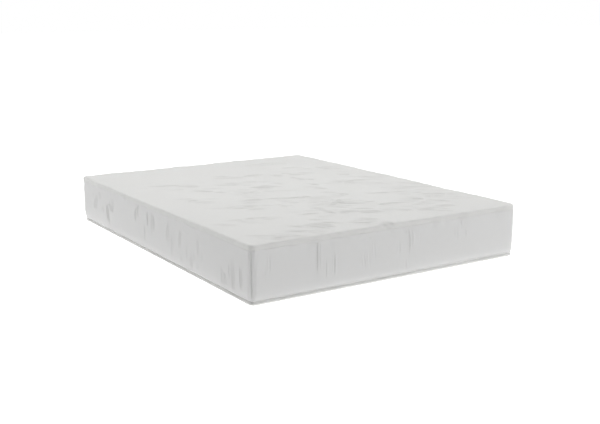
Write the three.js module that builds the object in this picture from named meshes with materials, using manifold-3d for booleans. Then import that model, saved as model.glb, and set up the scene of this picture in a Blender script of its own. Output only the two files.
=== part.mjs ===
// A queen-size memory foam mattress: a three-layer foam core in a fire-barrier sock, inside a
// sewn stretch-knit cover that zips off around its foot. Millimetres, +Z up. The origin is the
// centre of the face it rests on; X runs across the bed and Y from the foot (-Y) to the head (+Y).
//
// Every sewn piece is its own solid. Where two pieces touch they keep a hairline gap, and the
// zipper's two coils stand a little apart so that the slider's post can pass between them.

import * as THREE from 'three';
import { mergeVertices } from 'three/addons/utils/BufferGeometryUtils.js';
import Module from 'manifold-3d';

const wasm = await Module();
wasm.setup();

// ---- driving dimensions -------------------------------------------------------------------
const inch = 25.4;
const width = 60 * inch; // finished width over the cover
const length = 80 * inch; // finished length over the cover
const coreThickness = 10 * inch; // all foam layers together
const baseThickness = 6 * inch;
const transitionThickness = 1.5 * inch;

const gap = 0.3; // left between pieces that touch
const cornerRadius = 32; // upright corners, seen from above
const cornerSegments = 8;

const bottomFabric = 2.0;
const sockFabric = 1.5;
const topQuilt = 5.0; // knit with its backing fibre
const coreInset = 10.0; // from the cover's outermost face to the foam

// Heights, worked out from the floor up.
const sockBottom = bottomFabric + gap;
const coreBottom = sockBottom + sockFabric + gap;
const coreTop = coreBottom + coreThickness;
const sockTop = coreTop + gap + sockFabric;
const coverTop = sockTop + gap + topQuilt;
const topSeam = coverTop - 23; // where the top panel is sewn to the borders
const bottomRim = 9.5; // where the bottom panel's turned-up edge ends
const borderHem = 21.5; // where the borders' lower edge ends

// Zipper, in a section across its run: "out" is away from the foam.
const zipperInset = 9; // the tape's middle, from the cover's outermost face
const zipperHeight = 15.5; // the line where the two coils meet
const tapeThickness = 0.8;
const coilDepth = 2.4;
const coilHeight = 2.3;
const coilSpread = 1.6; // clear space between the two coils
const lowerTapeFoot = 2.6;
const upperTapeHead = 28;

// Along the head side, where the zipper begins and ends.
const sliderRest = 596;
const endStopX = 620;
const startStopX = 642;
const stopLength = 3;
const tapeJoinX = 631;

// ---- materials ----------------------------------------------------------------------------
const finish = (color, roughness, metalness = 0) =>
  new THREE.MeshStandardMaterial({ color, roughness, metalness });
const knit = finish(0xe9e9e6, 0.85);
const sideKnit = finish(0xe6e6e7, 0.85);
const lining = finish(0xdedcd4, 0.9);
const webbing = finish(0xdcdcda, 0.8);
const nylon = finish(0xe4e4e2, 0.45);
const metal = finish(0xb9babc, 0.35, 0.9);
const labelCloth = finish(0xf2f2f0, 0.8);
const sockKnit = finish(0xeeece4, 0.9);
const elasticCloth = finish(0xe0ddd2, 0.75);
const memoryFoam = finish(0xf3ead0, 0.95);
const transitionFoam = finish(0xbfd3de, 0.95);
const baseFoam = finish(0xe8e6e2, 0.95);

// ---- solids -------------------------------------------------------------------------------

// A closed geometry as a solid that can be joined and cut.
function solid(geometry) {
  const bare = geometry.clone();
  bare.deleteAttribute('normal');
  bare.deleteAttribute('uv');
  const merged = mergeVertices(bare, 1e-4);
  return new wasm.Manifold(
    new wasm.Mesh({
      numProp: 3,
      vertProperties: merged.attributes.position.array,
      triVerts: new Uint32Array(merged.index.array),
    }),
  );
}

function named(name, shape, material) {
  const { vertProperties, triVerts } = shape.getMesh();
  const geometry = new THREE.BufferGeometry();
  geometry.setAttribute('position', new THREE.BufferAttribute(vertProperties, 3));
  geometry.setIndex(new THREE.BufferAttribute(triVerts, 1));
  geometry.computeVertexNormals();
  const mesh = new THREE.Mesh(geometry, material);
  mesh.name = name;
  return mesh;
}

// The mattress's plan, drawn in from its outermost face by inset.
function outline(inset) {
  const radius = Math.max(cornerRadius - inset, 2);
  const alongX = width / 2 - inset - radius;
  const alongY = length / 2 - inset - radius;
  const points = [];
  [[1, 1], [-1, 1], [-1, -1], [1, -1]].forEach(([sideX, sideY], quarter) => {
    for (let i = 0; i <= cornerSegments; i++) {
      const angle = ((quarter + i / cornerSegments) * Math.PI) / 2;
      points.push([
        sideX * alongX + radius * Math.cos(angle),
        sideY * alongY + radius * Math.sin(angle),
      ]);
    }
  });
  return points;
}

// A closed block whose plan is drawn in by a different amount at each height: [height, inset].
function block(levels) {
  const rings = levels.map(([z, inset]) => outline(inset).map(([x, y]) => [x, y, z]));
  const count = rings[0].length;
  const foot = rings.length * count;
  const head = foot + 1;
  const positions = [...rings.flat(), [0, 0, levels[0][0]], [0, 0, levels.at(-1)[0]]];
  const faces = [];
  for (let i = 0; i < count; i++) {
    const next = (i + 1) % count;
    for (let k = 0; k < rings.length - 1; k++) {
      const below = k * count;
      const above = below + count;
      faces.push(below + i, below + next, above + next);
      faces.push(below + i, above + next, above + i);
    }
    faces.push(foot, next, i);
    faces.push(head, foot - count + i, foot - count + next);
  }
  const geometry = new THREE.BufferGeometry();
  geometry.setAttribute('position', new THREE.Float32BufferAttribute(positions.flat(), 3));
  geometry.setIndex(faces);
  return solid(geometry);
}

// Levels of a quarter-round edge that starts at one height and inset and ends at another.
function rounded([z0, inset0], [z1, inset1], bulgeAtStart, steps = 6) {
  return Array.from({ length: steps + 1 }, (_, i) => {
    const angle = ((i / steps) * Math.PI) / 2;
    const first = Math.sin(angle);
    const second = 1 - Math.cos(angle);
    const [rise, draw] = bulgeAtStart ? [first, second] : [second, first];
    return [z0 + (z1 - z0) * rise, inset0 + (inset1 - inset0) * draw];
  });
}

// A cushion-edged block: rounded at its bottom and top edges.
function softBlock(bottom, top, inset, bottomRadius, topRadius) {
  return block([
    ...rounded([bottom, inset + bottomRadius], [bottom + bottomRadius, inset], false),
    ...rounded([top - topRadius, inset], [top, inset + topRadius], true),
  ]);
}

// A band of constant thickness that runs right round the mattress.
function band(outerInset, innerInset, bottom, top) {
  const outside = block([[bottom, outerInset], [top, outerInset]]);
  const inside = block([[bottom - 1, innerInset], [top + 1, innerInset]]);
  return outside.subtract(inside);
}

function box(minimum, maximum) {
  const size = maximum.map((value, i) => value - minimum[i]);
  const geometry = new THREE.BoxGeometry(...size);
  geometry.translate(...minimum.map((value, i) => value + size[i] / 2));
  return solid(geometry);
}

// A flat shape drawn in X and Z, given thickness along Y from near to far.
function plate(shape, near, far) {
  const geometry = new THREE.ExtrudeGeometry(shape, {
    depth: far - near,
    bevelEnabled: false,
    curveSegments: 10,
  });
  geometry.rotateX(Math.PI / 2);
  geometry.translate(0, far, 0);
  return solid(geometry);
}

function roundedRectangle(left, right, bottom, top, radius) {
  const shape = new THREE.Shape();
  shape.absarc(right - radius, top - radius, radius, 0, Math.PI / 2);
  shape.absarc(left + radius, top - radius, radius, Math.PI / 2, Math.PI);
  shape.absarc(left + radius, bottom + radius, radius, Math.PI, 1.5 * Math.PI);
  shape.absarc(right - radius, bottom + radius, radius, 1.5 * Math.PI, 2 * Math.PI);
  shape.closePath();
  return shape;
}

// ---- cover --------------------------------------------------------------------------------

function topPanel() {
  const turn = coverTop - topSeam; // the height that the panel turns down over the edge
  const outside = block([
    ...rounded([topSeam, 0], [coverTop, turn], true, 7),
  ]);
  const inside = block([
    [topSeam - 1, topQuilt],
    ...rounded([topSeam, topQuilt], [coverTop - topQuilt, turn], true, 7),
  ]);
  return outside.subtract(inside);
}

// The four borders' common ring, drawn in towards its hem.
function borderRing() {
  const seam = topSeam - gap;
  const outside = block([
    [borderHem, 5.9],
    [30, 3.4],
    [40, 1.6],
    [52, 0.4],
    [66, 0],
    [seam, 0],
  ]);
  const inside = block([
    [borderHem - 1, 8.3],
    [upperTapeHead, 8.3],
    [40, 6.8],
    [52, 5.5],
    [66, 5],
    [seam + 1, 5],
  ]);
  return outside.subtract(inside);
}

// Cuts one side out of a ring, along the upright seams at the middle of each round corner.
function side(ring, turn) {
  const halfAcross = (turn % 2 ? length : width) / 2 - cornerRadius;
  const halfAlong = (turn % 2 ? width : length) / 2 - cornerRadius;
  const reach = 2 * cornerRadius;
  const shape = new THREE.Shape();
  shape.moveTo(-halfAcross - reach, -halfAlong - reach);
  shape.lineTo(halfAcross + reach, -halfAlong - reach);
  shape.lineTo(halfAcross - reach, -halfAlong + reach);
  shape.lineTo(-halfAcross + reach, -halfAlong + reach);
  shape.closePath();
  const wedge = new THREE.ExtrudeGeometry(shape, { depth: coverTop, bevelEnabled: false });
  wedge.translate(0, -gap * 0.75, 0);
  wedge.rotateZ((turn * Math.PI) / 2);
  return ring.intersect(solid(wedge));
}

function bottomPanel() {
  const outside = block([[0, 10], [1.2, 7.2], [3, 5.6], [5, 5.2], [bottomRim, 5.2]]);
  const inside = block([
    [bottomFabric, 10.4],
    [lowerTapeFoot, 8.3],
    [bottomRim + 1, 8.3],
  ]);
  return outside.subtract(inside);
}

// ---- zipper -------------------------------------------------------------------------------

const coilReach = coilSpread / 2 + coilHeight; // from the zipper's line to a coil's outer edge

// A gap in something that runs round the mattress, cut on the head side from one X to another.
function openedAt(ring, fromX, toX) {
  const headSide = length / 2;
  return ring.subtract(box([fromX, headSide - 40, -5], [toX, headSide + 5, 60]));
}

function tape(bottom, top) {
  const half = tapeThickness / 2;
  const ring = band(zipperInset - half, zipperInset + half, bottom, top);
  return openedAt(ring, tapeJoinX - 0.5, tapeJoinX + 0.5);
}

function coil(direction) {
  const near = zipperHeight + (direction * coilSpread) / 2;
  const far = zipperHeight + direction * coilReach;
  const half = coilDepth / 2;
  const ring = band(
    zipperInset - half,
    zipperInset + half,
    Math.min(near, far),
    Math.max(near, far),
  );
  return openedAt(ring, endStopX - gap, startStopX + stopLength + gap);
}

// The slider's own measures, about the point where the two coils meet: X along the zipper,
// Y out of the mattress, Z up.
const sliderLength = 20;
const sliderHalfHeight = 5.6;
const plateNear = 1.6;
const plateFar = 3.0;
const lipNear = 0.75;
const lipHeight = 1.8;
const postThickness = 0.9;
const bridgeHalfWidth = 1.5;
const tabPivot = 4.0; // out from the coils to the pull tab's pin
const pinRadius = 0.7;

function sliderPlate(near, far) {
  return plate(
    roundedRectangle(-sliderLength / 2, sliderLength / 2, -sliderHalfHeight, sliderHalfHeight, 3.5),
    near,
    far,
  );
}

function sliderBridge() {
  const arch = new THREE.Shape();
  arch.absellipse(0, plateFar, 4.6, 3.0, 0, Math.PI);
  arch.lineTo(-4.6, plateFar - 0.5);
  arch.lineTo(-3.4, plateFar - 0.5);
  arch.absellipse(0, plateFar, 3.4, 2.0, Math.PI, 0, true);
  arch.lineTo(3.4, plateFar - 0.5);
  arch.lineTo(4.6, plateFar - 0.5);
  arch.closePath();
  const geometry = new THREE.ExtrudeGeometry(arch, {
    depth: 2 * bridgeHalfWidth,
    bevelEnabled: false,
    curveSegments: 10,
  });
  geometry.translate(0, 0, -bridgeHalfWidth);
  return solid(geometry);
}

function sliderBody() {
  let body = sliderPlate(plateNear, plateFar).add(sliderPlate(-plateFar, -plateNear));
  const postEnd = sliderLength / 2 - 1;
  body = body.add(
    box([postEnd - 5, -plateFar + 0.4, -postThickness / 2], [postEnd, plateFar - 0.4, postThickness / 2]),
  );
  const lipEnd = sliderLength / 2 - 3.5;
  for (const up of [-1, 1]) {
    for (const out of [-1, 1]) {
      const heights = [up * sliderHalfHeight, up * (sliderHalfHeight - lipHeight)].sort((a, b) => a - b);
      const depths = [out * lipNear, out * (plateNear + 0.4)].sort((a, b) => a - b);
      body = body.add(box([-lipEnd, depths[0], heights[0]], [lipEnd, depths[1], heights[1]]));
    }
  }
  return body.add(sliderBridge());
}

// The pull tab lies back over the closed coils, its pin under the slider's bridge.
function pullTab() {
  const half = 0.6;
  const armInner = 2.0;
  const armOuter = 3.4;
  const pin = new THREE.CylinderGeometry(pinRadius, pinRadius, 2 * armOuter, 16);
  pin.rotateX(Math.PI / 2);
  pin.translate(0, tabPivot, 0);
  let tab = solid(pin);
  for (const up of [-1, 1]) {
    const heights = [up * armInner, up * armOuter].sort((a, b) => a - b);
    tab = tab.add(box([-7, tabPivot - half, heights[0]], [0, tabPivot + half, heights[1]]));
  }
  const leaf = roundedRectangle(-34, -5.4, -3.4, 3.4, 3);
  const eye = new THREE.Path();
  eye.absarc(-30, 0, 1.4, 0, 2 * Math.PI, true);
  leaf.holes.push(eye);
  return tab.add(plate(leaf, tabPivot - half, tabPivot + half));
}

function stop() {
  const half = coilReach;
  return box([0, -coilDepth / 2 - 0.3, -half], [stopLength, coilDepth / 2 + 0.3, half]);
}

// ---- inside -------------------------------------------------------------------------------

const sockOpening = { halfX: 420, halfY: 660, radius: 120 };
const elasticWidth = 10;
const coreBottomRadius = 37.7;
const coreTopRadius = 18.2;

function openingHole(grow, bottom, top) {
  const { halfX, halfY, radius } = sockOpening;
  const shape = roundedRectangle(
    -halfX - grow,
    halfX + grow,
    -halfY - grow,
    halfY + grow,
    radius + grow,
  );
  const geometry = new THREE.ExtrudeGeometry(shape, {
    depth: top - bottom,
    bevelEnabled: false,
    curveSegments: 8,
  });
  geometry.translate(0, 0, bottom);
  return solid(geometry);
}

// The sock is pulled over the core from above and left open below, inside an elastic.
function sock() {
  const clear = gap + sockFabric;
  const outside = softBlock(
    sockBottom, sockTop, coreInset - clear, coreBottomRadius + clear, coreTopRadius + clear,
  );
  const inside = softBlock(
    sockBottom + sockFabric, sockTop - sockFabric, coreInset - gap,
    coreBottomRadius + gap, coreTopRadius + gap,
  );
  return outside.subtract(inside).subtract(openingHole(0, sockBottom - 1, sockBottom + sockFabric + 1));
}

function elastic() {
  const outside = openingHole(-gap, sockBottom, sockBottom + sockFabric);
  return outside.subtract(openingHole(-gap - elasticWidth, sockBottom - 1, sockBottom + sockFabric + 1));
}

const core = softBlock(coreBottom, coreTop, coreInset, coreBottomRadius, coreTopRadius);

function layer(bottom, top) {
  return core.intersect(box([-width, -length, bottom], [width, length, top]));
}

// ---- label --------------------------------------------------------------------------------
// A plain sewn-in label, hanging by its top edge on the head border.
const label = { left: -540, width: 62, top: 132, height: 74, thickness: 0.5 };

function lawLabel() {
  const back = length / 2 + gap;
  return box(
    [label.left, back, label.top - label.height],
    [label.left + label.width, back + label.thickness, label.top],
  );
}

// ---- the mattress -------------------------------------------------------------------------

const mattress = new THREE.Group();

const ring = borderRing();
mattress.add(
  named('cover_top_panel', topPanel(), knit),
  named('cover_border_foot', side(ring, 0), sideKnit),
  named('cover_border_right', side(ring, 1), sideKnit),
  named('cover_border_head', side(ring, 2), sideKnit),
  named('cover_border_left', side(ring, 3), sideKnit),
  named('cover_bottom_panel', bottomPanel(), lining),
);

const tapeReach = coilReach + gap;
mattress.add(
  named('zipper_tape_upper', tape(zipperHeight + tapeReach, upperTapeHead), webbing),
  named('zipper_tape_lower', tape(lowerTapeFoot, zipperHeight - tapeReach), webbing),
  named('zipper_coil_upper', coil(1), nylon),
  named('zipper_coil_lower', coil(-1), nylon),
);

// Everything that sits on the zipper's line on the head side.
const headZipper = new THREE.Group();
headZipper.position.set(0, length / 2 - zipperInset, zipperHeight);
const slider = named('zipper_slider', sliderBody(), metal);
const tab = named('zipper_pull_tab', pullTab(), metal);
slider.position.x = sliderRest;
tab.position.x = sliderRest;
const endStop = named('zipper_end_stop', stop(), metal);
const startStop = named('zipper_start_stop', stop(), metal);
endStop.position.x = endStopX;
startStop.position.x = startStopX;
headZipper.add(slider, tab, endStop, startStop);
mattress.add(headZipper);

const transitionBottom = coreBottom + baseThickness;
const memoryBottom = transitionBottom + transitionThickness;
mattress.add(
  named('base_foam_core', layer(coreBottom, transitionBottom - gap), baseFoam),
  named('transition_foam_layer', layer(transitionBottom, memoryBottom - gap), transitionFoam),
  named('memory_foam_layer', layer(memoryBottom, coreTop), memoryFoam),
  named('fire_barrier_sock', sock(), sockKnit),
  named('sock_elastic_band', elastic(), elasticCloth),
  named('law_label', lawLabel(), labelCloth),
);

export default mattress;
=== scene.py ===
# %% [markdown]
# # A memory foam mattress
# A queen-size foam mattress stands on a studio floor. Its core is three slabs of foam in a
# fire-barrier sock. Over that goes a cover of stretch knit: a thick top panel, four borders that
# meet at upright corner seams, and a bottom panel that zips off all round.
# This lesson loads the mattress's plain solids, replaces each of them by cloth, foam, nylon or
# metal with its real relief, gives every piece a material, and then lights it.

import math

import bmesh
import bpy
import numpy as np
from mathutils import Matrix, Vector


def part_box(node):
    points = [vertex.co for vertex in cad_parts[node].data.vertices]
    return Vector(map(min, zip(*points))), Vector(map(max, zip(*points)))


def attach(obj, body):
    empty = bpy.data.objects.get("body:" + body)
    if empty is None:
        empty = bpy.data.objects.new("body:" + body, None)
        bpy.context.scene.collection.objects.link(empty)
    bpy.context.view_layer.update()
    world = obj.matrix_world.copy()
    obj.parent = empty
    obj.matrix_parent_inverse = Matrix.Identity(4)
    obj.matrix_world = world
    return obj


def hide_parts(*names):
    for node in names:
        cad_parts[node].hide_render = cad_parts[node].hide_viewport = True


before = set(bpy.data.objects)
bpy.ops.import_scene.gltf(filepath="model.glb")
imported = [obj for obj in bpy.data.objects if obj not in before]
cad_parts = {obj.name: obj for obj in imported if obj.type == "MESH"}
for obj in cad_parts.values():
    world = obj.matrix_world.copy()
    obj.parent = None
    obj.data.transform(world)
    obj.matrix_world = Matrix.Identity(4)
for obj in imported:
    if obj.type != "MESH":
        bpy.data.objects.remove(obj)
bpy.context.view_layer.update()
scene = bpy.context.scene

# %% [markdown]
# ## Measures
# The plain solids already have the mattress's real size, so every piece starts from their boxes.
# Only the measures of the sewing are set here: how round the corners and the top edge are, and the
# hair's breadth that separates neighbouring pieces.

# %% Measures of the mattress
millimetre = 0.001

top_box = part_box("cover_top_panel")
border_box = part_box("cover_border_foot")
half_width = top_box[1].x
half_length = top_box[1].y
cover_top = top_box[1].z
top_seam = top_box[0].z
hem = border_box[0].z

corner_radius = 32 * millimetre
edge_radius = 10 * millimetre
gap = 0.3 * millimetre
core_x = half_width - corner_radius
core_y = half_length - corner_radius
print("half width", half_width, "half length", half_length, "top", cover_top)

# %% [markdown]
# ## Making a mesh from points
# Every sheet here is a grid of points on a curved surface, so one helper turns points and faces
# into an object. It also stores each point's place on the flat cut cloth as a UV map in metres.
# The weave uses that map, so its threads keep their real size round every edge.

# %% Helper: points and faces to a piece
def make_piece(name, points, faces, cloth_place=None, body="mattress"):
    mesh = bpy.data.meshes.new(name)
    mesh.from_pydata(np.asarray(points, float).tolist(), [], faces)
    mesh.polygons.foreach_set("use_smooth", [True] * len(mesh.polygons))
    if cloth_place is not None:
        corners = np.zeros(len(mesh.loops), np.int32)
        mesh.loops.foreach_get("vertex_index", corners)
        layer = mesh.uv_layers.new(name="cloth")
        layer.data.foreach_set("uv", np.asarray(cloth_place, np.float32)[corners].ravel())
    mesh.validate()
    piece = bpy.data.objects.new(name, mesh)
    scene.collection.objects.link(piece)
    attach(piece, body)
    return piece


# %% [markdown]
# ## A sheet of cloth with two faces
# A panel of the cover is a thin closed sheet. Its outer face carries all the creases, so it needs
# a fine grid. Its inner face lies on the foam and nobody sees it, so it takes only every fourth
# line of that grid. Faces with many corners join the two round the rim.

# %% Helper: a fine outer face, a coarse inner face and a rim
coarse_step = 4


def grid_faces(rows, columns, first=0, flip=False):
    index = first + np.arange(rows * columns).reshape(rows, columns)
    corners = [index[:-1, :-1], index[:-1, 1:], index[1:, 1:], index[1:, :-1]]
    if flip:
        corners.reverse()
    return np.stack(corners, -1).reshape(-1, 4).tolist()


def rim_walk(rows, columns, step):
    """The grid's rim as (row, column) pairs, once round, with the given step."""
    foot = [(0, c) for c in range(0, columns - 1, step)]
    right = [(r, columns - 1) for r in range(0, rows - 1, step)]
    head = [(rows - 1, c) for c in range(columns - 1, 0, -step)]
    left = [(r, 0) for r in range(rows - 1, 0, -step)]
    return foot + right + head + left


def two_faced_sheet(name, outer, inner, cloth_place, body="mattress"):
    rows, columns = outer.shape[:2]
    coarse = inner[::coarse_step, ::coarse_step]
    coarse_rows, coarse_columns = coarse.shape[:2]
    first = rows * columns
    faces = grid_faces(rows, columns)
    faces += grid_faces(coarse_rows, coarse_columns, first, flip=True)
    fine = [r * columns + c for r, c in rim_walk(rows, columns, 1)]
    plain = [
        first + r // coarse_step * coarse_columns + c // coarse_step
        for r, c in rim_walk(rows, columns, coarse_step)
    ]
    for k in range(len(plain)):
        run = [fine[(k * coarse_step + i) % len(fine)] for i in range(coarse_step + 1)]
        faces.append([plain[k], plain[(k + 1) % len(plain)]] + run[::-1])
    points = np.concatenate([outer.reshape(-1, 3), coarse.reshape(-1, 3)])
    place = np.concatenate(
        [cloth_place.reshape(-1, 2), cloth_place[::coarse_step, ::coarse_step].reshape(-1, 2)]
    )
    return make_piece(name, points, faces, place, body)


# %% [markdown]
# ## The lie of the cloth
# A foam mattress arrives rolled and squeezed flat. When it opens, the knit is a little too long
# for the foam, and the spare length stays in three ways: slow swells, groups of short parallel
# creases, and puckers beside the seams. The swells are a sum of long waves in space, so that they
# run on from one panel to the next. Shorter waves ripple the cloth close to the top edge.

# %% Helper: random waves in space
def wave_field(seed, shortest, longest, count=40):
    """A function that gives a random, smooth height at any point in space."""
    rng = np.random.default_rng(seed)
    lengths = rng.uniform(shortest, longest, count)
    directions = rng.normal(size=(count, 3))
    directions /= np.linalg.norm(directions, axis=1)[:, None]
    phases = rng.uniform(0, 2 * math.pi, count)

    def height(points):
        waves = points.reshape(-1, 3) @ (directions / lengths[:, None]).T
        heights = np.sin(2 * math.pi * waves + phases) * lengths / longest
        return heights.sum(1).reshape(points.shape[:-1]) / math.sqrt(count)

    return height


swells = wave_field(11, 0.10, 0.55)
edge_waves = wave_field(12, 0.035, 0.10)
swell_height = 1.9 * millimetre
edge_wave_height = 2.2 * millimetre
edge_wave_reach = 35 * millimetre

# %% [markdown]
# One crease is a narrow valley with a soft lip along each side, one lip higher than the other. It
# bends a little and runs out at both ends. Creases come in groups of two to five that lie side by
# side, because one band of spare cloth buckles several times. A style says, in degrees and metres,
# which way a group leans, how long and deep it is, and how its lines are spaced. The top has long
# slanting creases, the long sides upright ones, and the short ends shallower upright ones.

# %% Helper: groups of creases
top_style = {
    "lean": -33,
    "lean_spread": 13,
    "length": (0.09, 0.27),
    "depth": (0.0034, 0.0072),
    "spacing": (0.014, 0.030),
    "width": (0.0045, 0.0080),
    "most_lines": 5,
}
side_style = {
    "lean": 91,
    "lean_spread": 5,
    "length": (0.09, 0.19),
    "depth": (0.0044, 0.0066),
    "spacing": (0.024, 0.050),
    "width": (0.0032, 0.0048),
    "most_lines": 5,
}
end_style = side_style | {"depth": (0.0012, 0.0030), "spacing": (0.018, 0.044)}
under_edge_style = {
    "lean": 0,
    "lean_spread": 8,
    "length": (0.04, 0.09),
    "depth": (0.0008, 0.0018),
    "spacing": (0.012, 0.018),
    "width": (0.0040, 0.0060),
    "most_lines": 3,
}


def crease_groups(rng, middles, style):
    """A list of creases, in one group round each of the given middles."""
    creases = []
    for middle in middles:
        angle = math.radians(rng.normal(style["lean"], style["lean_spread"]))
        direction = np.array([math.cos(angle), math.sin(angle)])
        sideways = np.array([-direction[1], direction[0]])
        group_length = rng.uniform(*style["length"])
        group_depth = rng.uniform(*style["depth"])
        spacing = rng.uniform(*style["spacing"])
        bow = rng.normal(0, 0.9)
        flip = rng.choice([-1, 1])
        lines = rng.integers(2, style["most_lines"] + 1)
        for line in range(lines):
            slide = rng.normal(0, 0.3) * group_length
            offset = (line - (lines - 1) / 2) * spacing * rng.uniform(0.6, 1.3)
            creases.append(
                {
                    "middle": middle + sideways * offset + direction * slide,
                    "direction": direction,
                    "half_length": 0.5 * group_length * rng.uniform(0.45, 1.15),
                    "width": rng.uniform(*style["width"]),
                    "depth": group_depth * rng.uniform(0.4, 1.15),
                    "bow": bow + rng.normal(0, 0.4),
                    "flip": flip,
                }
            )
    return creases


def bell(distance, width):
    """1 along the middle of a valley or ridge, falling smoothly to 0 on both sides."""
    return np.exp(-((distance / width) ** 2))


def crease_relief(place, creases):
    """How far all the creases lift each place of the cloth."""
    flat = place.reshape(-1, 2)
    relief = np.zeros(len(flat))
    for crease in creases:
        offset = flat - crease["middle"]
        close = np.flatnonzero(np.abs(offset).max(1) < crease["half_length"] + 0.05)
        direction = crease["direction"]
        along = offset[close] @ direction
        across = offset[close] @ np.array([-direction[1], direction[0]])
        across = (across - crease["bow"] * along**2) * crease["flip"]
        run = np.clip(1 - (along / crease["half_length"]) ** 2, 0, 1)
        width = crease["width"] * (0.45 + 0.55 * run)
        valley = bell(across, width)
        high_lip = bell(across - 1.9 * width, 1.1 * width)
        low_lip = bell(across + 1.9 * width, 1.1 * width)
        relief[close] += crease["depth"] * run**1.5 * (0.8 * high_lip + 0.3 * low_lip - valley)
    return relief.reshape(place.shape[:-1])


def ease_in(distance, reach):
    """0 at a rim, rising smoothly to 1 at the given distance from it."""
    t = np.clip(distance / reach, 0, 1)
    return t * t * (3 - 2 * t)


# %% [markdown]
# The drawn creases are only where the cloth starts. A cloth simulation then settles each panel as
# it lies flat on its foam: its rim is sewn down, and every crease was cut a little longer than it
# now is, so the cloth pushes its folds up, softens them and joins the ones that meet. The foam
# stops the valleys. Packing has also pressed some creases in as sharp lines, finer than the
# simulated mesh can hold, so a share of each drawn crease is laid back over the settled folds.

# %% Helper: let the cloth settle on its foam
settling_frames = 10
tallest_fold = 7 * millimetre
settled_share = 0.45
pressed_share = 0.65
sewn_rim = 12 * millimetre


def foam_plane(half_x, half_y, middle_y, depth):
    """A flat collision plane under the cloth, at the depth the foam gives way to."""
    mesh = bpy.data.meshes.new("settling_foam")
    low, high = middle_y - half_y, middle_y + half_y
    corners = [(-half_x, low), (half_x, low), (half_x, high), (-half_x, high)]
    mesh.from_pydata([(x, y, -depth) for x, y in corners], [], [(0, 1, 2, 3)])
    foam = bpy.data.objects.new("settling_foam", mesh)
    scene.collection.objects.link(foam)
    foam.modifiers.new("collision", "COLLISION")
    foam.collision.thickness_outer = 1.5 * millimetre
    foam.collision.cloth_friction = 20
    return foam


def settle(place, relief, rim_distance, spare, give):
    """The relief of a flat panel after it has settled. It was cut with folds spare times as deep,
    and it can sink almost as far as give into the soft foam."""
    rows, columns = relief.shape
    start = np.concatenate([place, relief[..., None]], -1).reshape(-1, 3)
    size = np.ptp(start, axis=0)
    middle_y = start[:, 1].min() + size[1] / 2
    foam = foam_plane(size[0] / 2 + 0.1, size[1] / 2 + 0.1, middle_y, give)
    mesh = bpy.data.meshes.new("settling_cloth")
    mesh.from_pydata(start.tolist(), [], grid_faces(rows, columns))
    cloth = bpy.data.objects.new("settling_cloth", mesh)
    scene.collection.objects.link(cloth)
    held = cloth.vertex_groups.new(name="held")
    held.add(np.flatnonzero(rim_distance.ravel() < sewn_rim).tolist(), 1.0, "REPLACE")
    cloth.shape_key_add(name="start")
    cut = cloth.shape_key_add(name="cut")
    cut.data.foreach_set("co", (start * [1, 1, spare]).ravel())
    cut.value = 0
    modifier = cloth.modifiers.new("cloth", "CLOTH")
    knit = modifier.settings
    knit.quality = 4
    knit.mass = 0.3 * size[0] * size[1] / len(start)
    knit.tension_stiffness = knit.compression_stiffness = 15
    knit.shear_stiffness = 5
    knit.bending_stiffness = 0.5
    knit.air_damping = 2
    knit.vertex_group_mass = "held"
    knit.rest_shape_key = cut
    modifier.collision_settings.distance_min = 1.5 * millimetre
    modifier.point_cache.frame_end = settling_frames
    for number in range(1, settling_frames + 1):
        scene.frame_set(number)
    settled = cloth.evaluated_get(bpy.context.evaluated_depsgraph_get())
    points = np.zeros(start.size)
    settled.data.vertices.foreach_get("co", points)
    scene.frame_set(1)
    bpy.data.objects.remove(cloth)
    bpy.data.objects.remove(foam)
    settled_relief = points.reshape(rows, columns, 3)[..., 2]
    capped = tallest_fold * np.tanh(settled_relief / tallest_fold)
    return settled_share * capped + pressed_share * relief


# %% [markdown]
# ## Top panel
# The top panel is a thick knit quilted to fibre. It lies flat on the foam, rolls over the edge
# and is sewn to the borders just below. Bending a flat sheet round four rounded corners is the
# hard part: the square corner of the grid is mapped onto a quarter disc, so that grid lines stay
# even and the rim ends exactly on the seam.

# %% Helper: bend a flat sheet round the mattress's edge
def grid_lines(half, pitch, rim_lines):
    """Places of the grid lines from -half to half, with extra lines near both rims."""
    count = coarse_step * round((2 * half - 2 * rim_lines[0]) / pitch / coarse_step)
    middle = np.linspace(-half + rim_lines[0], half - rim_lines[0], count + 1)
    extra = half - np.array(rim_lines[1:])
    return np.concatenate([-extra[::-1], middle, extra])


def bend_over(across, along, profile):
    """Points of a flat sheet bent over the edge. profile lists (outwards, height) along the bend,
    from the inner rectangle out."""
    out_x = np.clip(np.abs(across) - core_x, 0, None)
    out_y = np.clip(np.abs(along) - core_y, 0, None)
    reach = np.maximum(out_x, out_y)
    safe = np.maximum(reach, 1e-9)
    quarter = math.pi / 4
    turn = np.where(out_x >= out_y, quarter * out_y / safe, 2 * quarter - quarter * out_x / safe)
    outward = np.stack([np.sign(across) * np.cos(turn), np.sign(along) * np.sin(turn)], -1)
    travelled = np.concatenate([[0], np.cumsum(np.linalg.norm(np.diff(profile, axis=0), axis=1))])
    plan = np.interp(reach, travelled, profile[:, 0])
    height = np.interp(reach, travelled, profile[:, 1])
    middle = np.stack([np.clip(across, -core_x, core_x), np.clip(along, -core_y, core_y)], -1)
    flat = middle + outward * plan[..., None]
    points = np.concatenate([flat, height[..., None]], -1)
    place = middle + outward * reach[..., None]
    return points, place, travelled[-1] - reach


def facing(points):
    """The outward normal at each point of a grid of points."""
    normal = np.cross(np.gradient(points, axis=1), np.gradient(points, axis=0))
    return normal / np.linalg.norm(normal, axis=-1, keepdims=True)


# %% Shape the top panel
def edge_profile(out, radius, top, bottom):
    """(outwards, height) over a quarter-round edge and down to the bottom."""
    angles = np.linspace(0, math.pi / 2, 12)
    rounded = np.stack(
        [out - radius + radius * np.sin(angles), top - radius + radius * np.cos(angles)], -1
    )
    return np.concatenate([[[0, top]], rounded, [[out, bottom]]])


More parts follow.
